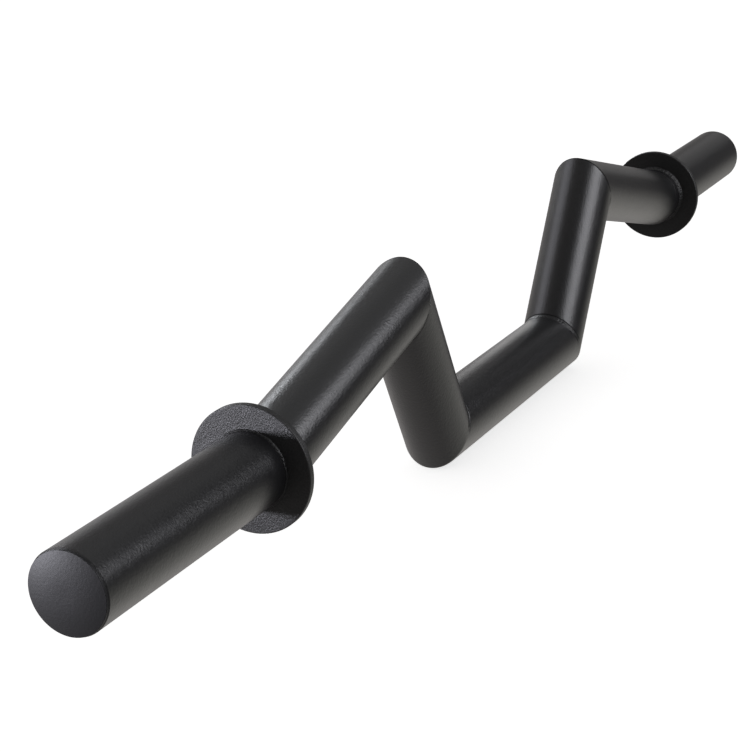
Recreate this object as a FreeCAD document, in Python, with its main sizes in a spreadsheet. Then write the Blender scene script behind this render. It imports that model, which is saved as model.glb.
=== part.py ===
import FreeCAD, Part
import math
import os
import Sketcher

# Thick-grip EZ curl bar: one size of steel tube, cut and butt welded into a shallow W, with a welded
# stop collar and a plugged open end on each sleeve. Nothing on it turns: the sleeves are the tube itself.
#
# Frame: X runs along the bar, Z is up in the plane of the W, and the origin is on the floor under the
# middle of the centre tube, which the bar stands on. Left is -X. The tubes are laid from left to right.

doc = FreeCAD.newDocument("ez_curl_bar")

# Driving sizes, in millimetres, degrees and counts
SIZES = {
    # The tube, the same from end to end
    "tube_diameter": 50,
    "tube_wall": 5,
    # The W, measured between the corners of the tubes' centre lines
    "centre_length": 234,
    "leg_length": 133,
    "leg_angle": 60,
    "grip_length": 196,
    "grip_angle": 14.5,
    # The sleeves, from the collar's outer face to the cut end of the tube
    "sleeve_length": 189,
    "sleeve_chamfer": 0.6,
    # The collar that stops the plates
    "collar_diameter": 82,
    "collar_thickness": 5,
    "collar_edge_radius": 0.8,
    "collar_bore_clearance": 0.1,
    # The welds, and the bare tube left between a bend's weld and the collar's
    "valley_weld_width": 6,
    "peak_weld_width": 2.5,
    "bend_weld_width": 2.5,
    "collar_inner_weld_leg": 2.6,
    "collar_outer_weld_leg": 1.2,
    "collar_weld_crown": 0.25,
    "collar_weld_root": 0.5,
    "collar_stub": 4,
    # The moulded plug in each end
    "cap_head_thickness": 1.4,
    "cap_crown": 2.4,
    "cap_flat_radius": 3,
    "cap_edge_radius": 0.4,
    "cap_stem_length": 24,
    "cap_stem_wall": 2,
    "cap_fin_height": 1.6,
    "cap_fin_thickness": 1.2,
    "cap_fin_count": 4,
    "cap_bore_clearance": 0.1,
}

sheet = doc.addObject("Spreadsheet::Sheet", "Sizes")
for row, (alias, number) in enumerate(SIZES.items(), start=1):
    sheet.set(f"A{row}", alias)
    sheet.set(f"B{row}", str(number))
    sheet.setAlias(f"B{row}", alias)
doc.recompute()

# Sizes and places worked out from the driving ones
LAYOUT = {
    "tube_radius": "Sizes.tube_diameter / 2",
    "bore_radius": "Sizes.tube_diameter / 2 - Sizes.tube_wall",
    # Half the change of direction at each kind of corner, which is also the saw's angle there
    "valley_turn": "Sizes.leg_angle / 2",
    "peak_turn": "(Sizes.leg_angle + Sizes.grip_angle) / 2",
    "bend_turn": "Sizes.grip_angle / 2",
    # The slope of the saw cut's normal at a peak, half way between its two tubes
    "peak_lean": "(Sizes.leg_angle - Sizes.grip_angle) / 2",
    # The right-hand corners of the centre line
    "valley_x": "Sizes.centre_length / 2",
    "valley_z": "Sizes.tube_diameter / 2",
    "peak_x": "Layout.valley_x + Sizes.leg_length * cos(Sizes.leg_angle)",
    "peak_z": "Layout.valley_z + Sizes.leg_length * sin(Sizes.leg_angle)",
    "bend_x": "Layout.peak_x + Sizes.grip_length * cos(Sizes.grip_angle)",
    "bend_z": "Layout.peak_z - Sizes.grip_length * sin(Sizes.grip_angle)",
    # How far the weld at the bend reaches out along the sleeve
    "bend_weld_reach": "Layout.tube_radius * tan(Layout.bend_turn)"
                       " + Sizes.bend_weld_width / 2 / cos(Layout.bend_turn)",
    "collar_inner_x": "Layout.bend_x + Layout.bend_weld_reach + Sizes.collar_stub"
                      " + Sizes.collar_inner_weld_leg",
    "collar_outer_x": "Layout.collar_inner_x + Sizes.collar_thickness",
    "sleeve_end_x": "Layout.collar_outer_x + Sizes.sleeve_length",
    # The plug's head lines up with the inside of the chamfer on the tube's end
    "cap_radius": "Layout.tube_radius - Sizes.sleeve_chamfer",
    "cap_fin_radius": "Layout.bore_radius - Sizes.cap_bore_clearance",
    "cap_stem_radius": "Layout.cap_fin_radius - Sizes.cap_fin_height",
    "cap_stem_bore": "Layout.cap_stem_radius - Sizes.cap_stem_wall",
    "cap_fin_pitch": "Sizes.cap_stem_length / (Sizes.cap_fin_count + 1)",
}

layout = doc.addObject("App::VarSet", "Layout")
for name, expression in LAYOUT.items():
    layout.addProperty("App::PropertyFloat", name)
    layout.setExpression(name, expression)
doc.recompute()

# Directions along, up and out of the bar
LEFT, RIGHT = -1, 1
DOWN, UP = -1, 1
INWARD, OUTWARD = -1, 1
SIDES = {"left": LEFT, "right": RIGHT}

# Points of a sketch's line or arc, and the sketch's own axes and origin, as Sketcher numbers them
START, END, CENTRE = range(1, 4)
UP_AXIS, ACROSS_AXIS = range(-2, 0)
ORIGIN = (ACROSS_AXIS, START)

pieces = []


def value(expression):
    """The number that an expression comes to."""
    return float(sheet.evalExpression(expression))


def new_piece(label):
    body = doc.addObject("PartDesign::Body", label)
    body.Label = label
    pieces.append(body)
    return body


def datum(body, role):
    """One of the body's own origin planes or axes."""
    return next(feature for feature in body.Origin.OriginFeatures if feature.Role == role)


def new_sketch(body, name, plane):
    sketch = body.newObject("Sketcher::SketchObject", name)
    sketch.AttachmentSupport = [(datum(body, plane), "")]
    sketch.MapMode = "FlatFace"
    return sketch


def dimension(sketch, name, expression, kind, *where):
    """One driving dimension of a sketch, bound to the sheet."""
    index = sketch.addConstraint(Sketcher.Constraint(kind, *where, value(expression)))
    sketch.renameConstraint(index, name)
    sketch.setExpression(f"Constraints.{name}", expression)


def place_point(sketch, name, line, end, across, up):
    """Dimension a point from the sketch's origin, both ways."""
    dimension(sketch, f"{name}_across", across, "DistanceX", *ORIGIN, line, end)
    dimension(sketch, f"{name}_up", up, "DistanceY", *ORIGIN, line, end)


def draw_outline(sketch, corners, arc_after=None, arc=None):
    """A closed outline through corners, each an (across, up) pair of expressions.

    The side after corner number arc_after is the arc given, which runs anticlockwise; the rest are straight.
    """
    points = [FreeCAD.Vector(value(across), value(up), 0) for across, up in corners]
    sides = len(corners)
    for side, point in enumerate(points):
        following = points[(side + 1) % sides]
        sketch.addGeometry(arc if side == arc_after else Part.LineSegment(point, following))
    for side, (across, up) in enumerate(corners):
        sketch.addConstraint(Sketcher.Constraint("Coincident", side, END, (side + 1) % sides, START))
        place_point(sketch, f"corner_{side}", side, START, across, up)


def arc_between(start, end, radius):
    """The arc of less than half a turn that runs anticlockwise from start to end."""
    chord = end - start
    height = math.sqrt(radius ** 2 - chord.Length ** 2 / 4)
    inward = FreeCAD.Vector(-chord.y, chord.x, 0).normalize()
    centre = (start + end) / 2 + inward * height
    angles = [math.atan2(point.y - centre.y, point.x - centre.x) for point in (start, end)]
    return Part.ArcOfCircle(Part.Circle(centre, FreeCAD.Vector(0, 0, 1), radius), *angles)


def revolve(body, sketch, name, kind="PartDesign::Revolution"):
    """Turn a sketch about the body's X axis, to add it or, as a groove, to cut it out."""
    feature = body.newObject(kind, name)
    feature.Profile = sketch
    feature.ReferenceAxis = (datum(body, "X_Axis"), [""])
    feature.Angle = 360
    doc.recompute()
    return feature


def check_cut(body, name, before):
    """Stop the build if a cut took nothing off a body."""
    if body.Shape.Volume >= before:
        raise RuntimeError(f"{body.Label}: {name} removed nothing")


def round_edges(feature, radius):
    """The names of a feature's whole round edges of one radius."""
    names = []
    for number, edge in enumerate(feature.Shape.Edges, start=1):
        if edge.Degenerated or not isinstance(edge.Curve, Part.Circle):
            continue
        if abs(edge.Curve.Radius - radius) < Part.Precision.confusion():
            names.append(f"Edge{number}")
    return names


# Tubes, each sawn to its mitres and set back by half a weld's width


def slope(body, angle, direction):
    """Tilt a body in the plane of the W, rising (UP) or falling (DOWN) to the right."""
    axis = FreeCAD.Vector(0, -direction, 0)
    body.Placement = FreeCAD.Placement(FreeCAD.Vector(), FreeCAD.Rotation(axis, value(angle)))
    body.setExpression("Placement.Rotation.Angle", angle)


def saw_cut(body, name, along, turn, direction, weld_width, keep):
    """Saw one end of a tube parallel to its mitre; keep is the side of the cut that stays, LEFT or RIGHT."""
    sketch = new_sketch(body, f"{name}_line", "XZ_Plane")
    tilt = -direction * keep
    axis = FreeCAD.Vector(0, 0, tilt)
    sketch.AttachmentOffset = FreeCAD.Placement(FreeCAD.Vector(), FreeCAD.Rotation(axis, value(turn)))
    sketch.setExpression("AttachmentOffset.Base.x", along)
    sketch.setExpression("AttachmentOffset.Rotation.Angle", turn)
    near = f"{keep} * {weld_width} / 2"
    far = f"{-keep} * 2 * Sizes.tube_diameter"
    top = "2 * Sizes.tube_diameter"
    bottom = "-2 * Sizes.tube_diameter"
    draw_outline(sketch, [(near, bottom), (far, bottom), (far, top), (near, top)])
    before = body.Shape.Volume
    cut = body.newObject("PartDesign::Pocket", name)
    cut.Profile = sketch
    cut.Type = "ThroughAll"
    cut.Midplane = True
    doc.recompute()
    check_cut(body, name, before)


def tube(label, x, z, length, lean=None, left_mitre=None, right_mitre=None):
    """A straight tube with its local X along it, from its left corner at x, z.

    lean is (angle, UP or DOWN). A mitre is (half the turn, UP or DOWN, its weld's width), and an end with
    none is square.
    """
    body = new_piece(label)
    if lean:
        slope(body, *lean)
    body.setExpression("Placement.Base.x", x)
    body.setExpression("Placement.Base.z", z)
    ring = new_sketch(body, "tube_section", "YZ_Plane")
    for name, radius in (("outside", "Layout.tube_radius"), ("bore", "Layout.bore_radius")):
        circle = Part.Circle(FreeCAD.Vector(), FreeCAD.Vector(0, 0, 1), value(radius))
        index = ring.addGeometry(circle)
        ring.addConstraint(Sketcher.Constraint("Coincident", index, CENTRE, *ORIGIN))
        dimension(ring, name, radius, "Radius", index)
    stock = body.newObject("PartDesign::Pad", "stock")
    stock.Profile = ring
    # A mitred end starts a diameter too long and is sawn back
    spare_left = "Sizes.tube_diameter" if left_mitre else "0"
    spare_right = "Sizes.tube_diameter" if right_mitre else "0"
    ring.setExpression("AttachmentOffset.Base.z", f"-{spare_left}")
    stock.setExpression("Length", f"{length} + {spare_left} + {spare_right}")
    doc.recompute()
    if left_mitre:
        saw_cut(body, "left_saw_cut", "0", *left_mitre, RIGHT)
    if right_mitre:
        saw_cut(body, "right_saw_cut", length, *right_mitre, LEFT)
    return body


def chamfer_end(body):
    """Break the outer edge of a sleeve's square end."""
    end = body.Tip
    chamfer = body.newObject("PartDesign::Chamfer", "end_chamfer")
    chamfer.Base = (end, round_edges(end, value("Layout.tube_radius")))
    chamfer.setExpression("Size", "Sizes.sleeve_chamfer")
    doc.recompute()


def weld_root(body, name, face, way, leg):
    """Take out the tube's metal that a collar's weld has melted, deepest at the collar's face.

    face is where the collar's face comes along the tube, way is the side of it that the weld is on, and leg
    is how far the weld runs along the tube.
    """
    toe = f"{face} + {way} * {leg}"
    bottom = "Layout.tube_radius - Sizes.collar_weld_root"
    clear = "Layout.tube_radius + Sizes.collar_weld_root"
    section = new_sketch(body, f"{name}_section", "XZ_Plane")
    draw_outline(section, [(face, bottom), (toe, "Layout.tube_radius"), (toe, clear), (face, clear)])
    before = body.Shape.Volume
    revolve(body, section, name, "PartDesign::Groove")
    check_cut(body, name, before)


VALLEY_MITRE = ("Layout.valley_turn", UP, "Sizes.valley_weld_width")
PEAK_MITRE = ("Layout.peak_turn", DOWN, "Sizes.peak_weld_width")
BEND_MITRE = ("Layout.bend_turn", UP, "Sizes.bend_weld_width")
SLEEVE_RUN = "(Layout.sleeve_end_x - Layout.bend_x)"

sleeve_left = tube("sleeve_tube_left", "-Layout.sleeve_end_x", "Layout.bend_z", SLEEVE_RUN,
                   right_mitre=BEND_MITRE)
tube("grip_tube_left", "-Layout.bend_x", "Layout.bend_z", "Sizes.grip_length",
     ("Sizes.grip_angle", UP), BEND_MITRE, PEAK_MITRE)
tube("leg_tube_left", "-Layout.peak_x", "Layout.peak_z", "Sizes.leg_length",
     ("Sizes.leg_angle", DOWN), PEAK_MITRE, VALLEY_MITRE)
tube("centre_tube", "-Layout.valley_x", "Layout.valley_z", "Sizes.centre_length",
     None, VALLEY_MITRE, VALLEY_MITRE)
tube("leg_tube_right", "Layout.valley_x", "Layout.valley_z", "Sizes.leg_length",
     ("Sizes.leg_angle", UP), VALLEY_MITRE, PEAK_MITRE)
tube("grip_tube_right", "Layout.peak_x", "Layout.peak_z", "Sizes.grip_length",
     ("Sizes.grip_angle", DOWN), PEAK_MITRE, BEND_MITRE)
sleeve_right = tube("sleeve_tube_right", "Layout.bend_x", "Layout.bend_z", SLEEVE_RUN,
                    left_mitre=BEND_MITRE)
for sleeve, bend_at, outward in ((sleeve_left, SLEEVE_RUN, LEFT), (sleeve_right, "0", RIGHT)):
    chamfer_end(sleeve)
    inner_face = f"{bend_at} + {outward} * (Layout.collar_inner_x - Layout.bend_x)"
    outer_face = f"{bend_at} + {outward} * (Layout.collar_outer_x - Layout.bend_x)"
    weld_root(sleeve, "inner_weld_root", inner_face, -outward, "Sizes.collar_inner_weld_leg")
    weld_root(sleeve, "outer_weld_root", outer_face, outward, "Sizes.collar_outer_weld_leg")


# Butt welds, ground so that each one carries the tube's surface round the corner


def mitre_weld(label, x, z, lean, turn, direction, width):
    """The weld metal between two sawn ends, with its local X square to the mitre.

    The ring that the saw leaves is carried, unturned, along an arc that meets both centre lines.
    """
    body = new_piece(label)
    slope(body, *lean)
    body.setExpression("Placement.Base.x", x)
    body.setExpression("Placement.Base.z", z)
    half_width = f"{width} / 2"
    rise = f"{direction} * {half_width} * tan({turn})"
    start_x = f"{-direction} * {half_width}"
    end_x = f"{direction} * {half_width}"

    section = new_sketch(body, "sawn_ring", "YZ_Plane")
    section.setExpression("AttachmentOffset.Base.z", start_x)
    centre = FreeCAD.Vector(0, value(rise), 0)
    for name, radius in (("outside", "Layout.tube_radius"), ("bore", "Layout.bore_radius")):
        tall = f"{radius} / cos({turn})"
        top = centre + FreeCAD.Vector(0, value(tall), 0)
        side = centre + FreeCAD.Vector(value(radius), 0, 0)
        oval = section.addGeometry(Part.Ellipse(top, side, centre))
        section.exposeInternalGeometry(oval)
        long_axis = oval + 1
        short_axis = oval + 2
        section.addConstraint(Sketcher.Constraint("PointOnObject", oval, CENTRE, UP_AXIS))
        section.addConstraint(Sketcher.Constraint("PointOnObject", long_axis, START, UP_AXIS))
        dimension(section, f"{name}_rise", rise, "DistanceY", *ORIGIN, oval, CENTRE)
        dimension(section, f"{name}_tall", f"2 * {tall}", "Distance", long_axis)
        dimension(section, f"{name}_wide", f"2 * {radius}", "Distance", short_axis)

    path = new_sketch(body, "corner_arc", "XZ_Plane")
    radius = f"{half_width} / sin({turn})"
    ends = [FreeCAD.Vector(value(along), value(rise), 0) for along in (start_x, end_x)]
    arc = path.addGeometry(arc_between(*ends, value(radius)))
    place_point(path, "start", arc, START, start_x, rise)
    place_point(path, "end", arc, END, end_x, rise)
    dimension(path, "radius", radius, "Radius", arc)

    bead = body.newObject("PartDesign::AdditivePipe", "bead")
    bead.Profile = section
    bead.Spine = (path, ["Edge1"])
    bead.Mode = "Fixed"


for side_name, side in SIDES.items():
    # From left to right along the bar the legs fall into the W and climb out of it, and the grips the reverse
    leg_way = UP if side == RIGHT else DOWN
    grip_way = -leg_way
    mitre_weld(f"valley_weld_{side_name}", f"{side} * Layout.valley_x", "Layout.valley_z",
               ("Layout.valley_turn", leg_way), *VALLEY_MITRE)
    mitre_weld(f"peak_weld_{side_name}", f"{side} * Layout.peak_x", "Layout.peak_z",
               ("Layout.peak_lean", leg_way), *PEAK_MITRE)
    mitre_weld(f"bend_weld_{side_name}", f"{side} * Layout.bend_x", "Layout.bend_z",
               ("Layout.bend_turn", grip_way), *BEND_MITRE)


# Collars, their fillet welds and the end plugs, all turned about a sleeve's axis


def seat(body, side, x, facing):
    """Put a turned piece on a sleeve's axis, its local X facing out of the bar or in towards its middle."""
    half_turn = 0 if side * facing == RIGHT else 180
    axis = FreeCAD.Vector(0, 0, 1)
    body.Placement = FreeCAD.Placement(FreeCAD.Vector(), FreeCAD.Rotation(axis, half_turn))
    body.setExpression("Placement.Base.x", f"{side} * {x}")
    body.setExpression("Placement.Base.z", "Layout.bend_z")


def stop_collar(label, side):
    """A plain disc that slides over the sleeve and stops the plates."""
    body = new_piece(label)
    seat(body, side, "Layout.collar_inner_x", OUTWARD)
    bore = "Layout.tube_radius + Sizes.collar_bore_clearance"
    rim = "Sizes.collar_diameter / 2"
    section = new_sketch(body, "collar_section", "XZ_Plane")
    outer_face = "Sizes.collar_thickness"
    draw_outline(section, [("0", bore), (outer_face, bore), (outer_face, rim), ("0", rim)])
    disc = revolve(body, section, "disc")
    edge = body.newObject("PartDesign::Fillet", "rounded_rim")
    edge.Base = (disc, round_edges(disc, value(rim)))
    edge.setExpression("Radius", "Sizes.collar_edge_radius")


def collar_weld(label, side, x, facing, leg):
    """A fillet weld run round the sleeve in the corner that it makes with the collar, and into the sleeve.

    Its face is an arc that stands proud of the flat from toe to toe.
    """
    body = new_piece(label)
    seat(body, side, x, facing)
    root = ("0", "Layout.tube_radius - Sizes.collar_weld_root")
    tube_toe = (leg, "Layout.tube_radius")
    collar_toe = ("0", f"Layout.tube_radius + {leg}")
    toes = [FreeCAD.Vector(value(along), value(up), 0) for along, up in (tube_toe, collar_toe)]
    face_radius = f"({leg} ^ 2 / 2 + Sizes.collar_weld_crown ^ 2) / (2 * Sizes.collar_weld_crown)"
    section = new_sketch(body, "bead_section", "XZ_Plane")
    draw_outline(section, [root, tube_toe, collar_toe], 1, arc_between(*toes, value(face_radius)))
    dimension(section, "face_radius", face_radius, "Radius", 1)
    revolve(body, section, "bead")


def end_cap(label, side):
    """A moulded plug: a crowned head, flat at the mould's gate, on a hollow stem with gripping fins."""
    body = new_piece(label)
    seat(body, side, "Layout.sleeve_end_x", OUTWARD)
    crown_x = "Sizes.cap_head_thickness + Sizes.cap_crown"
    gate_edge = (crown_x, "Sizes.cap_flat_radius")
    head_edge = ("Sizes.cap_head_thickness", "Layout.cap_radius")
    stem_end = "-Sizes.cap_stem_length"
    ends = [FreeCAD.Vector(value(along), value(up), 0) for along, up in (gate_edge, head_edge)]
    crown_reach = value("Layout.cap_radius - Sizes.cap_flat_radius")
    crown_rise = value("Sizes.cap_crown")
    crown_radius = (crown_reach ** 2 + crown_rise ** 2) / (2 * crown_rise)
    section = new_sketch(body, "plug_section", "XZ_Plane")
    draw_outline(section, [
        ("0", "0"), (crown_x, "0"), gate_edge, head_edge,
        ("0", "Layout.cap_radius"), ("0", "Layout.cap_stem_radius"),
        (stem_end, "Layout.cap_stem_radius"), (stem_end, "Layout.cap_stem_bore"),
        ("0", "Layout.cap_stem_bore"),
    ], 2, arc_between(*ends, crown_radius))
    dimension(section, "crown_centre_up", "Sizes.cap_flat_radius", "DistanceY", *ORIGIN, 2, CENTRE)
    plug = revolve(body, section, "plug")

    rounded = body.newObject("PartDesign::Fillet", "rounded_head")
    head_rims = round_edges(plug, value("Layout.cap_radius"))
    outer_rim = max(head_rims, key=lambda name: plug.Shape.getElement(name).CenterOfMass.x)
    rounded.Base = (plug, [outer_rim])
    rounded.setExpression("Radius", "Sizes.cap_edge_radius")

    fin_section = new_sketch(body, "fin_section", "XZ_Plane")
    first = "Layout.cap_fin_pitch"
    inside = "Layout.cap_stem_radius - Sizes.cap_stem_wall / 2"
    inner_side = f"-({first} + Sizes.cap_fin_thickness)"
    draw_outline(fin_section, [
        (inner_side, inside), (f"-{first}", inside), (f"-{first}", "Layout.cap_fin_radius"),
        (inner_side, "Layout.cap_fin_radius"),
    ])
    fin = revolve(body, fin_section, "fin")
    fins = body.newObject("PartDesign::LinearPattern", "fins")
    fins.Originals = [fin]
    fins.Direction = (datum(body, "X_Axis"), [""])
    fins.Reversed = True
    fins.setExpression("Length", "Layout.cap_fin_pitch * (Sizes.cap_fin_count - 1)")
    fins.setExpression("Occurrences", "Sizes.cap_fin_count")
    body.Tip = fins


for side_name, side in SIDES.items():
    stop_collar(f"stop_collar_{side_name}", side)
    collar_weld(f"collar_inner_weld_{side_name}", side, "Layout.collar_inner_x", INWARD,
                "Sizes.collar_inner_weld_leg")
    collar_weld(f"collar_outer_weld_{side_name}", side, "Layout.collar_outer_x", OUTWARD,
                "Sizes.collar_outer_weld_leg")
    end_cap(f"end_cap_{side_name}", side)

doc.recompute()

# Nothing is written unless every object is sound
faults = [item.Label for item in doc.Objects if {"Invalid", "Error"} & set(item.State)]
for body in pieces:
    shape = body.Shape
    if shape.isNull() or not shape.isValid() or len(shape.Solids) != 1:
        faults.append(body.Label)
if faults:
    raise RuntimeError("unsound: " + ", ".join(faults))

os.makedirs("parts", exist_ok=True)
for body in pieces:
    body.Shape.exportStep(f"parts/{body.Label}.step")
    print(f"{body.Label}: {body.Shape.Volume / 1000:.2f} cm3")
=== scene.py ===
import math

import bmesh
import bpy
import numpy as np
from mathutils import Euler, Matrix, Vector


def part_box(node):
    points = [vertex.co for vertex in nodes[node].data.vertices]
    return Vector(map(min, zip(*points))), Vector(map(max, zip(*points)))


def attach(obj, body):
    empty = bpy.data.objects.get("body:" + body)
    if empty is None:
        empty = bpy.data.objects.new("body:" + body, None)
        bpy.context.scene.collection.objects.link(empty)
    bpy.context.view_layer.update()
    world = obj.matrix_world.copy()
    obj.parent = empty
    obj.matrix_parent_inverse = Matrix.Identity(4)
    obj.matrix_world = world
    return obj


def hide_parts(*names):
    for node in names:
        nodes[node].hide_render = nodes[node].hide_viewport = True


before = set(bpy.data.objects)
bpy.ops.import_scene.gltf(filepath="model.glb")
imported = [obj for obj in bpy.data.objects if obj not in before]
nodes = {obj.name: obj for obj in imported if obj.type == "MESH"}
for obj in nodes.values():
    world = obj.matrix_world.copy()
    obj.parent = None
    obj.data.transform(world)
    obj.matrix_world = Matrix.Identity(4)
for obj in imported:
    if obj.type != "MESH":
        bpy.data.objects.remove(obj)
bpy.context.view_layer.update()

# Tubes
# Seven lengths of 50 mm steel tube, sawn to mitres and welded end to end into a W with a sleeve at each end.
# The whole bar is powder coated in one go once it is welded.

MM = 0.001
SIDES = {"left": -1, "right": 1}
TUBES = ["centre_tube"] + [f"{kind}_tube_{side}" for kind in ("leg", "grip", "sleeve") for side in SIDES]
GRAIN = 1.5 * MM
GRAIN_HEIGHT = 0.15 * MM
PEEL = 4 * MM
PEEL_HEIGHT = 0.1 * MM


def linear(code):
    """An sRGB hex colour as Blender's linear one."""
    shares = [int(code[i:i + 2], 16) / 255 for i in (1, 3, 5)]
    return [s / 12.92 if s <= 0.04045 else ((s + 0.055) / 1.055) ** 2.4 for s in shares] + [1]


def add_node(tree, kind, inputs=(), **settings):
    """Add a node; each input is set to a value, or linked if it is given another node's output."""
    node = tree.nodes.new(kind)
    for name, setting in settings.items():
        setattr(node, name, setting)
    for name, given in dict(inputs).items():
        if isinstance(given, bpy.types.NodeSocket):
            tree.links.new(given, node.inputs[name])
        else:
            node.inputs[name].default_value = given
    return node


def new_material(name):
    """An empty material and its node tree."""
    material = bpy.data.materials.new(name)
    material.use_nodes = True
    material.node_tree.nodes.clear()
    return material, material.node_tree


def dress(piece, material):
    """Give every face of a piece one material."""
    piece.data.materials.clear()
    piece.data.materials.append(material)


# Polyester powder coat, sprayed dry and baked on steel: satin black with a fine grain left by the melted
# powder and a slower orange peel under it, which together give broad, slightly sparkling streaks of light.
# The real grain is too fine to show, so it is drawn coarser.
satin_coat, tree = new_material("powder_coat_baked_satin_black")
place = add_node(tree, "ShaderNodeTexCoord").outputs["Object"]
grain = add_node(tree, "ShaderNodeTexNoise", {
    "Vector": place, "Scale": 1 / GRAIN, "Detail": 2, "Roughness": 0.6})
peel = add_node(tree, "ShaderNodeTexNoise", {"Vector": place, "Scale": 1 / PEEL, "Detail": 1})
peel_bump = add_node(tree, "ShaderNodeBump", {
    "Height": peel.outputs["Fac"], "Distance": PEEL_HEIGHT, "Strength": 0.5})
grain_bump = add_node(tree, "ShaderNodeBump", {
    "Height": grain.outputs["Fac"], "Distance": GRAIN_HEIGHT, "Strength": 1,
    "Normal": peel_bump.outputs["Normal"]})
tone = add_node(tree, "ShaderNodeMix", {
    "Factor": grain.outputs["Fac"], "A": linear("#0b0b0c"), "B": linear("#111112")}, data_type="RGBA")
gloss = add_node(tree, "ShaderNodeMapRange", {"Value": peel.outputs["Fac"], "To Min": 0.28, "To Max": 0.34})
coat = add_node(tree, "ShaderNodeBsdfPrincipled", {
    "Base Color": tone.outputs["Result"], "Roughness": gloss.outputs["Result"], "IOR": 1.5,
    "Normal": grain_bump.outputs["Normal"]})
add_node(tree, "ShaderNodeOutputMaterial", {"Surface": coat.outputs["BSDF"]})

for name in TUBES:
    dress(nodes[name], satin_coat)

# Corner welds
# Each mitre is welded all round. Outside the corner the weld is ground flush with the tubes, and inside it,
# where no grinder reaches, a narrow rippled bead is left with a shallow undercut along both toes.

CENTRE_LENGTH = 234 * MM
LEG_LENGTH = 133 * MM
LEG_SLOPE = math.radians(60)
GRIP_LENGTH = 196 * MM
GRIP_SLOPE = math.radians(14.5)
TUBE_RADIUS = 25 * MM
SAW_GAPS = {"valley": 6 * MM, "peak": 2.5 * MM, "bend": 2.5 * MM}
CORNER_DEPTH = 2 * MM
CORNER_ROWS = 24
# A fine groove is left along the mitre over each peak, and its coat is painted blacker there as shade.
LINE_DEPTHS = {"valley": 0, "peak": 1 * MM, "bend": 0}
LINE_WIDTH = 0.7 * MM
# These four are shares of how far the weld reaches along each tube.
TOE = 0.42
UNDERCUT_END = 0.68
UNDERCUT_DEPTH = 0.12
CORNER_RIPPLE = 0.1
# How full the bead is, from a hollow curve at 0 to a straight fillet at 1, and how much fuller it gets.
LEAST_FULL = 0.5
MORE_FULL = 0.7
# How soon the crease and the ground side fade out round the tube, and from where they take the dull coat
# painted blacker as shade.
CREASE_FADE = 0.5
GROUND_FADE = 0.3
PAINTED_SHADE_FROM = 0.4
CORNER_SEED = 57
# The crescents of frozen weld: their spacing, and how they wander, bow, sharpen and fade out at the toes.
RIPPLE_PITCH = 3.2 * MM
RIPPLE_WANDER = 7
RIPPLE_BOW = 1.6
RIPPLE_EDGE = 0.5
RIPPLE_FADE = 0.6
WANDER_TURNS = (3, 5, 8, 13, 21)
WELD_STEPS = 720
ROUND = np.linspace(0, 2 * np.pi, WELD_STEPS, endpoint=False)
SHARP_EDGE = math.radians(50)
SPECKS = 0.9 * MM
SPECK_HEIGHT = 0.12 * MM

# The same coat in grooves and creases, duller, and painted blacker as shade so that each one reads as a dark
# line, with the dry specks of powder that didn't melt flat. They are drawn coarser to show.
dull_coat_with_painted_shade, tree = new_material("powder_coat_dull_black_painted_shade")
place = add_node(tree, "ShaderNodeTexCoord").outputs["Object"]
specks = add_node(tree, "ShaderNodeTexNoise", {
    "Vector": place, "Scale": 1 / SPECKS, "Detail": 2, "Roughness": 0.6})
speck_bump = add_node(tree, "ShaderNodeBump", {
    "Height": specks.outputs["Fac"], "Distance": SPECK_HEIGHT, "Strength": 1})
tone = add_node(tree, "ShaderNodeMix", {
    "Factor": specks.outputs["Fac"], "A": linear("#060606"), "B": linear("#0c0c0d")}, data_type="RGBA")
dullness = add_node(tree, "ShaderNodeMapRange", {
    "Value": specks.outputs["Fac"], "To Min": 0.38, "To Max": 0.5})
coat = add_node(tree, "ShaderNodeBsdfPrincipled", {
    "Base Color": tone.outputs["Result"], "Roughness": dullness.outputs["Result"], "IOR": 1.5,
    "Specular IOR Level": 0.25, "Normal": speck_bump.outputs["Normal"]})
add_node(tree, "ShaderNodeOutputMaterial", {"Surface": coat.outputs["BSDF"]})


def slow_waves(rng, height):
    """A smooth wander round a weld, from 0 to height."""
    total = np.zeros_like(ROUND)
    for turns in WANDER_TURNS:
        total += np.sin(turns * ROUND + rng.uniform(0, 2 * np.pi)) / turns ** 0.5
    return height * (total - total.min()) / (total.max() - total.min())


def crescents(count, uneven, bulge):
    """The ripples round one row of a weld, from -1 to 1; bulge is 0 at its toes and 1 at its middle."""
    phase = count * ROUND + uneven + RIPPLE_BOW * bulge
    return np.sin(phase + RIPPLE_EDGE * np.sin(phase)) * bulge ** RIPPLE_FADE


def ring(name, rows):
    """A closed ring made of rows of points, each row once round it, in order round its section."""
    count, steps = len(rows), len(rows[0])
    faces = []
    for row in range(count):
        following = (row + 1) % count
        for step in range(steps):
            turn = (step + 1) % steps
            faces.append((row * steps + step, row * steps + turn,
                          following * steps + turn, following * steps + step))
    mesh = bpy.data.meshes.new(name)
    mesh.from_pydata(np.concatenate(rows).tolist(), [], faces)
    work = bmesh.new()
    work.from_mesh(mesh)
    bmesh.ops.recalc_face_normals(work, faces=work.faces)
    work.to_mesh(mesh)
    work.free()
    mesh.polygons.foreach_set("use_smooth", [True] * len(faces))
    mesh.set_sharp_from_angle(angle=SHARP_EDGE)
    piece = bpy.data.objects.new(name, mesh)
    bpy.context.scene.collection.objects.link(piece)
    return piece


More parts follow.
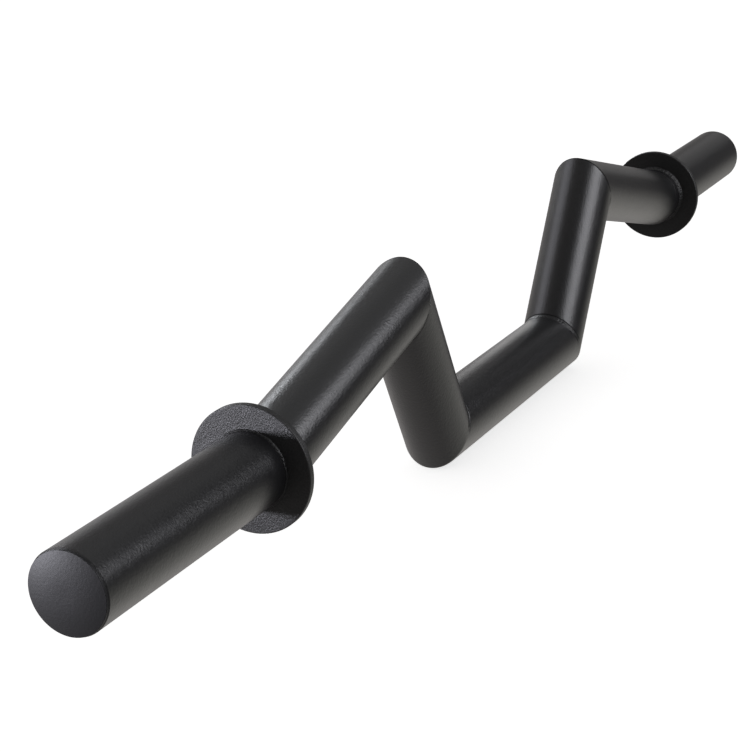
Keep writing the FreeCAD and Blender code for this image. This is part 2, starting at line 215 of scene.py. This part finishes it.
def corner_weld(name, corner, arms, gap, line_depth, seed):
    """The weld where two tubes leave a corner along two arms: ground outside it and rippled inside it."""
    rng = np.random.default_rng(seed)
    inward = (arms[0] + arms[1]) / np.linalg.norm(arms[0] + arms[1])
    half_height = TUBE_RADIUS / np.linalg.norm(np.cross(inward, arms[0]))
    mitre = np.outer(TUBE_RADIUS * np.sin(ROUND), [0, 1, 0]) + np.outer(half_height * np.cos(ROUND), inward)
    outward = [(mitre - np.outer(mitre @ arm, arm)) / TUBE_RADIUS for arm in arms]
    crown = outward[0] + outward[1]
    crown /= np.linalg.norm(crown, axis=1, keepdims=True)
    reach = gap / np.linalg.norm(arms[0] - arms[1])
    crease = np.clip(np.cos(ROUND), 0, 1)[:, None] ** CREASE_FADE
    ground = np.clip(-np.cos(ROUND), 0, 1)[:, None] ** GROUND_FADE
    ripples = round(math.pi * (TUBE_RADIUS + half_height) / RIPPLE_PITCH)
    uneven = slow_waves(rng, RIPPLE_WANDER)
    height = CORNER_RIPPLE * reach * slow_waves(rng, 1) ** 2
    fullness = crease * (LEAST_FULL + slow_waves(rng, MORE_FULL))[:, None]
    rows = []
    for row in range(CORNER_ROWS + 1):
        share = 2 * row / CORNER_ROWS - 1
        if abs(share) > TOE:
            tube = 0 if share < 0 else 1
            past_toe = min((abs(share) - TOE) / (UNDERCUT_END - TOE), 1)
            dip = UNDERCUT_DEPTH * reach * math.sin(math.pi * past_toe)
            point = mitre + abs(share) * reach * arms[tube] - dip * crease * outward[tube]
        else:
            across = (share / TOE + 1) / 2
            fillet = TOE * reach * ((1 - across) * arms[0] + across * arms[1])
            hollow = TOE * reach * ((1 - across) ** 2 * arms[0] + across ** 2 * arms[1])
            ripple = (height * crescents(ripples, uneven, math.sin(math.pi * across)))[:, None]
            line = line_depth * math.exp(-(share * reach / LINE_WIDTH) ** 2)
            point = mitre + hollow + fullness * (fillet - hollow)
            point = point + (crease * ripple - ground * line) * crown
        rows.append(corner + point)
    rows.append(rows[-1] - CORNER_DEPTH * outward[1])
    rows.append(rows[0] - CORNER_DEPTH * outward[0])
    weld = ring(name, rows)
    # The bead and undercuts in the crease and the line over each peak take the dull coat, painted blacker as
    # shade.
    dress(weld, satin_coat)
    weld.data.materials.append(dull_coat_with_painted_shade)
    middles = np.abs((2 * np.arange(CORNER_ROWS) + 1) / CORNER_ROWS - 1)[:, None]
    in_crease = (middles < UNDERCUT_END) & (crease[:, 0] > PAINTED_SHADE_FROM)
    in_line = (line_depth > 0) & (middles * reach < LINE_WIDTH) & (ground[:, 0] > PAINTED_SHADE_FROM)
    painted_shade_faces = np.zeros((len(rows), WELD_STEPS), dtype=int)
    painted_shade_faces[:CORNER_ROWS] = in_crease | in_line
    weld.data.polygons.foreach_set("material_index", painted_shade_faces.ravel())
    return weld


corner_welds = []
for side, way in SIDES.items():
    leg = np.array([way * math.cos(LEG_SLOPE), 0, math.sin(LEG_SLOPE)])
    grip = np.array([way * math.cos(GRIP_SLOPE), 0, -math.sin(GRIP_SLOPE)])
    sleeve = np.array([way, 0, 0])
    valley = np.array([way * CENTRE_LENGTH / 2, 0, TUBE_RADIUS])
    peak = valley + LEG_LENGTH * leg
    bend = peak + GRIP_LENGTH * grip
    mitres = {"valley": (valley, (-sleeve, leg)),
              "peak": (peak, (-leg, grip)),
              "bend": (bend, (-grip, sleeve))}
    for kind, (corner, arms) in mitres.items():
        node = f"{kind}_weld_{side}"
        seed = CORNER_SEED + len(corner_welds)
        weld = corner_weld(f"{node}_run", corner, arms, SAW_GAPS[kind], LINE_DEPTHS[kind], seed)
        corner_welds.append(weld)
        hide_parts(node)
        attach(weld, "root")

# Stop collars
# Flat steel discs with a bored middle, slid over the sleeves and welded on both faces to stop the plates.
# The powder lies thicker and sandier on the flat plate than on the tube, which is ground smoother.

SAND = 1.15 * MM
SAND_HEIGHT = 0.31 * MM

# The same polyester powder on blasted plate: a sandy grain that scatters small glints over a flat face and
# leaves it greyer than the tubes. The real grain is too fine to show, so it is drawn coarser.
sandy_coat, tree = new_material("powder_coat_baked_sandy_black")
place = add_node(tree, "ShaderNodeTexCoord").outputs["Object"]
sand = add_node(tree, "ShaderNodeTexNoise", {
    "Vector": place, "Scale": 1 / SAND, "Detail": 3, "Roughness": 0.65})
sand_bump = add_node(tree, "ShaderNodeBump", {
    "Height": sand.outputs["Fac"], "Distance": SAND_HEIGHT, "Strength": 1})
tone = add_node(tree, "ShaderNodeMix", {
    "Factor": sand.outputs["Fac"], "A": linear("#0c0c0c"), "B": linear("#191919")}, data_type="RGBA")
coat = add_node(tree, "ShaderNodeBsdfPrincipled", {
    "Base Color": tone.outputs["Result"], "Roughness": 0.45, "IOR": 1.5, "Specular IOR Level": 0.3,
    "Normal": sand_bump.outputs["Normal"]})
add_node(tree, "ShaderNodeOutputMaterial", {"Surface": coat.outputs["BSDF"]})

for side in SIDES:
    dress(nodes[f"stop_collar_{side}"], sandy_coat)

# Collar welds
# A fillet bead run by hand round the sleeve on both faces of each collar, a full one on the inner face and
# a thin one where the plates sit. Its puddle freezes in uneven crescents, which the powder only softens.

BEAD_LEGS = {"inner": 2.2 * MM, "outer": 0.8 * MM}
# The wander of the toes and the height of the ripples are shares of the leg.
BEAD_WANDERS = {"inner": 0.3, "outer": 0.8}
BEAD_RIPPLES = {"inner": 0.07, "outer": 0.16}
# The share of that height that the ripples keep where they are calmest.
BEAD_CALM = 0.4
BEAD_CROWN = 0.1 * MM
BEAD_ROOT = 0.5 * MM
BEAD_ROWS = 12


def weld_bead(name, face, seed):
    """A rippled ring in the corner that a collar makes with its sleeve, in place of the plain CAD one."""
    low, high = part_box(name)
    leg = BEAD_LEGS[face]
    wander = BEAD_WANDERS[face] * leg
    away = math.copysign(1, low.x) * (-1 if face == "inner" else 1)
    collar_face = low.x if away > 0 else high.x
    axis_height = (low.z + high.z) / 2
    rng = np.random.default_rng(seed)
    tube_toe = leg + slow_waves(rng, wander)
    collar_toe = leg + slow_waves(rng, wander) - wander / 2
    crown = BEAD_CROWN + slow_waves(rng, BEAD_CROWN)
    ripples = round(2 * np.pi * (TUBE_RADIUS + leg / 2) / RIPPLE_PITCH)
    uneven = slow_waves(rng, RIPPLE_WANDER)
    height = BEAD_RIPPLES[face] * leg * (BEAD_CALM + slow_waves(rng, 1 - BEAD_CALM))
    section = []
    for row in range(BEAD_ROWS + 1):
        share = row / BEAD_ROWS
        bulge = math.sin(math.pi * share)
        out = crown * bulge + height * crescents(ripples, uneven, bulge)
        along = tube_toe * (1 - share) + out * math.sqrt(0.5)
        up = TUBE_RADIUS + collar_toe * share + out * math.sqrt(0.5)
        section.append((along, up))
    section.append((np.zeros_like(ROUND), np.full_like(ROUND, TUBE_RADIUS - BEAD_ROOT)))
    return ring(f"{name}_rippled", [
        np.stack([collar_face + away * along, up * np.sin(ROUND), axis_height + up * np.cos(ROUND)], axis=1)
        for along, up in section])


beads = []
for side in SIDES:
    for face in ("inner", "outer"):
        name = f"collar_{face}_weld_{side}"
        bead = weld_bead(name, face, len(beads))
        beads.append(bead)
        # The thin outer bead takes the dull coat, painted blacker as shade; the inner bead keeps the sandy
        # coat.
        dress(bead, sandy_coat if face == "inner" else dull_coat_with_painted_shade)
        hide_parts(name)
        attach(bead, "root")

# End caps
# Moulded plugs pressed into the open ends, with a slightly crowned head as wide as the tube's chamfer.
# Only the head shows: the finned stem is inside the tube.

PITS = 1.6 * MM
PIT_HEIGHT = 0.09 * MM

# Polyethylene, moulded in a spark-eroded tool: matte black with a fine leathery grain that breaks the light
# into a soft, slightly blue-grey bloom. The real grain is too fine to show, so it is drawn coarser.
grained_plastic, tree = new_material("polyethylene_moulded_grained_black")
place = add_node(tree, "ShaderNodeTexCoord").outputs["Object"]
pits = add_node(tree, "ShaderNodeTexNoise", {
    "Vector": place, "Scale": 1 / PITS, "Detail": 3, "Roughness": 0.6})
pit_bump = add_node(tree, "ShaderNodeBump", {
    "Height": pits.outputs["Fac"], "Distance": PIT_HEIGHT, "Strength": 1})
tone = add_node(tree, "ShaderNodeMix", {
    "Factor": pits.outputs["Fac"], "A": linear("#09090a"), "B": linear("#0f0f11")}, data_type="RGBA")
plastic = add_node(tree, "ShaderNodeBsdfPrincipled", {
    "Base Color": tone.outputs["Result"], "Roughness": 0.52, "IOR": 1.51, "Specular IOR Level": 0.2,
    "Normal": pit_bump.outputs["Normal"]})
add_node(tree, "ShaderNodeOutputMaterial", {"Surface": plastic.outputs["BSDF"]})

for side in SIDES:
    dress(nodes[f"end_cap_{side}"], grained_plastic)

# Floor, light and camera
# A plain white studio floor and walls, lit until they are pure white, and soft light on the bar from both
# sides. The bar sees a small lit sweep of paper in a dim room and not the endless floor that is drawn.

ROOM_HALF = 25
ROOM_HEIGHT = 12
FLOOR_GLOW = 0.77
WALL_GLOW = 1
room_corners = [(ROOM_HALF * x, ROOM_HALF * y) for x, y in ((-1, -1), (1, -1), (1, 1), (-1, 1))]


def studio_surface(name, points, faces, colour, glow):
    """A matte surface of the studio that the camera sees and the bar doesn't."""
    mesh = bpy.data.meshes.new(name)
    mesh.from_pydata(points, [], faces)
    surface = bpy.data.objects.new(name, mesh)
    bpy.context.scene.collection.objects.link(surface)
    surface.visible_diffuse = False
    surface.visible_glossy = False
    surface.visible_shadow = False
    paint, tree = new_material(f"{name}_matte_white")
    finish = add_node(tree, "ShaderNodeBsdfPrincipled", {
        "Base Color": linear(colour), "Roughness": 0.9,
        "Emission Color": linear("#ffffff"), "Emission Strength": glow})
    add_node(tree, "ShaderNodeOutputMaterial", {"Surface": finish.outputs["BSDF"]})
    dress(surface, paint)
    return surface


floor_points = [(x, y, 0) for x, y in room_corners]
wall_points = [(x, y, z) for z in (0, ROOM_HEIGHT) for x, y in room_corners]
wall_faces = [(foot, (foot + 1) % 4, (foot + 1) % 4 + 4, foot + 4) for foot in range(4)]
floor = studio_surface("floor", floor_points, [(0, 1, 2, 3)], "#f2f2f2", FLOOR_GLOW)
studio_surface("walls", wall_points, wall_faces, "#000000", WALL_GLOW)


def lit_group(name, pieces):
    """A collection of pieces that a lamp may be kept to."""
    group = bpy.data.collections.new(name)
    for piece in pieces:
        group.objects.link(piece)
    return group


ends = [nodes[f"{kind}_{side}"] for kind in ("stop_collar", "end_cap") for side in SIDES]
bar_only = lit_group("lit_bar", list(nodes.values()) + corner_welds + beads)
ends_only = lit_group("lit_ends", ends + beads)
floor_only = lit_group("lit_floor", [floor])


def direction(azimuth, elevation):
    """The direction from the bar at these angles, in degrees."""
    a, e = math.radians(azimuth), math.radians(elevation)
    return Vector((math.cos(a) * math.cos(e), math.sin(a) * math.cos(e), math.sin(e)))


def add_lamp(name, kind, colour, back, lit):
    """A lamp that shines away from back and lights only one collection."""
    lamp = bpy.data.lights.new(name, kind)
    lamp.color = linear(colour)[:3]
    source = bpy.data.objects.new(name, lamp)
    bpy.context.scene.collection.objects.link(source)
    source.rotation_euler = back.to_track_quat("Z", "Y").to_euler()
    source.light_linking.receiver_collection = lit
    return source


def soft_light(name, azimuth, elevation, spread, radiance, colour="#ffffff", lit=bar_only):
    """A far, round, soft source seen from the bar at these angles, in degrees."""
    lamp = add_lamp(name, "SUN", colour, direction(azimuth, elevation), lit).data
    lamp.angle = math.radians(spread)
    lamp.energy = radiance * math.pi * math.sin(lamp.angle / 2) ** 2


soft_light("right_softbox", -100, 34, spread=42, radiance=6.5, colour="#fafaff")
soft_light("rear_right_softbox", -59, 27, spread=28, radiance=6.5, colour="#fafaff")
soft_light("rear_left_softbox", 62, 26, spread=27, radiance=9.2, colour="#f6faff")
soft_light("left_softbox", 113, 32, spread=35, radiance=2.3, colour="#f4f5ff")
soft_light("back_softbox", 2, 16, spread=26, radiance=0.25)
soft_light("overhead_softbox", -38, 82, spread=96, radiance=0.47)
soft_light("floor_light", 100, 70, spread=150, radiance=0.275, lit=floor_only)

# The spots' places and sizes are in metres, and their power is in watts.
SPOT_ALONG = 1.0
SPOT_ASIDE = 0.5
SPOT_HEIGHT = 0.085
SPOT_RADIUS = 0.06
SPOT_POWER = 46
SPOT_BLEND = 0.6
SLEEVE_ALONG = 0.48
SLEEVE_HEIGHT = 0.091


def end_spot(name, way, cone):
    """A small spot beyond one end of the bar that picks out the collar's face and the plug."""
    stand = Vector((way * SPOT_ALONG, SPOT_ASIDE, SPOT_HEIGHT))
    sleeve_middle = Vector((way * SLEEVE_ALONG, 0, SLEEVE_HEIGHT))
    spot = add_lamp(name, "SPOT", "#f4f4ff", stand - sleeve_middle, ends_only)
    spot.location = stand
    spot.data.energy = SPOT_POWER
    spot.data.shadow_soft_size = SPOT_RADIUS
    spot.data.spot_size = math.radians(cone)
    spot.data.spot_blend = SPOT_BLEND


end_spot("near_end_spot", -1, cone=30)
end_spot("far_end_spot", 1, cone=22)

# A white card stands beyond the far end and lights the bar along its length. Its power is in watts for each
# square metre.
CARD_WIDTH = 0.25
CARD_HEIGHT = 0.37
CARD_POWER = 3.4
card = add_lamp("far_card", "AREA", "#ffffff", Vector((1, 0, 0)), bar_only)
card.location = (1.0, 0.475, 0.215)
card.visible_camera = False
card.data.shape = "RECTANGLE"
card.data.size = CARD_WIDTH
card.data.size_y = CARD_HEIGHT
card.data.energy = CARD_POWER * CARD_WIDTH * CARD_HEIGHT

# What the bar sees all round it: the lit paper, dimmer on one side, and a brighter spot low down.
world = bpy.data.worlds.new("studio")
world.use_nodes = True
tree = world.node_tree
tree.nodes.clear()
outlook = add_node(tree, "ShaderNodeTexCoord").outputs["Generated"]


def lobe(azimuth, elevation, reach, middle, outside):
    """A number that is middle at these angles and fades to outside this many degrees away."""
    along = add_node(tree, "ShaderNodeVectorMath", {0: outlook, 1: direction(azimuth, elevation)},
                     operation="DOT_PRODUCT")
    edge = math.cos(math.radians(reach))
    number = add_node(tree, "ShaderNodeMapRange", {
        "Value": along.outputs["Value"], "From Min": edge, "From Max": 1,
        "To Min": outside, "To Max": middle}, interpolation_type="SMOOTHSTEP")
    return number.outputs["Result"]


paper = lobe(108, -44, reach=146, middle=0.69, outside=0)
dim_side = lobe(158, -16, reach=55, middle=0.52, outside=1)
bright_spot = lobe(-35, -41, reach=44, middle=0.62, outside=0)
dimmed_paper = add_node(tree, "ShaderNodeMath", {0: paper, 1: dim_side}, operation="MULTIPLY")
paper_glow = add_node(tree, "ShaderNodeBackground", {
    "Color": linear("#fffaf8"), "Strength": dimmed_paper.outputs["Value"]})
spot_glow = add_node(tree, "ShaderNodeBackground", {"Color": linear("#fffef5"), "Strength": bright_spot})
both = add_node(tree, "ShaderNodeAddShader", {0: paper_glow.outputs[0], 1: spot_glow.outputs[0]})
add_node(tree, "ShaderNodeOutputWorld", {"Surface": both.outputs[0]})
bpy.context.scene.world = world
bpy.context.scene.view_settings.view_transform = "Standard"

# The camera's lens, place and turn come from fitting the bar's outline to the photograph.
lens = bpy.data.cameras.new("camera")
lens.lens = 91.606
lens.sensor_width = 36
camera = bpy.data.objects.new("camera", lens)
camera.location = (-1.3121, -0.5352, 0.5094)
camera.rotation_euler = Euler([math.radians(angle) for angle in (71.313, 0.552, -64.150)])
bpy.context.scene.collection.objects.link(camera)
bpy.context.scene.camera = camera
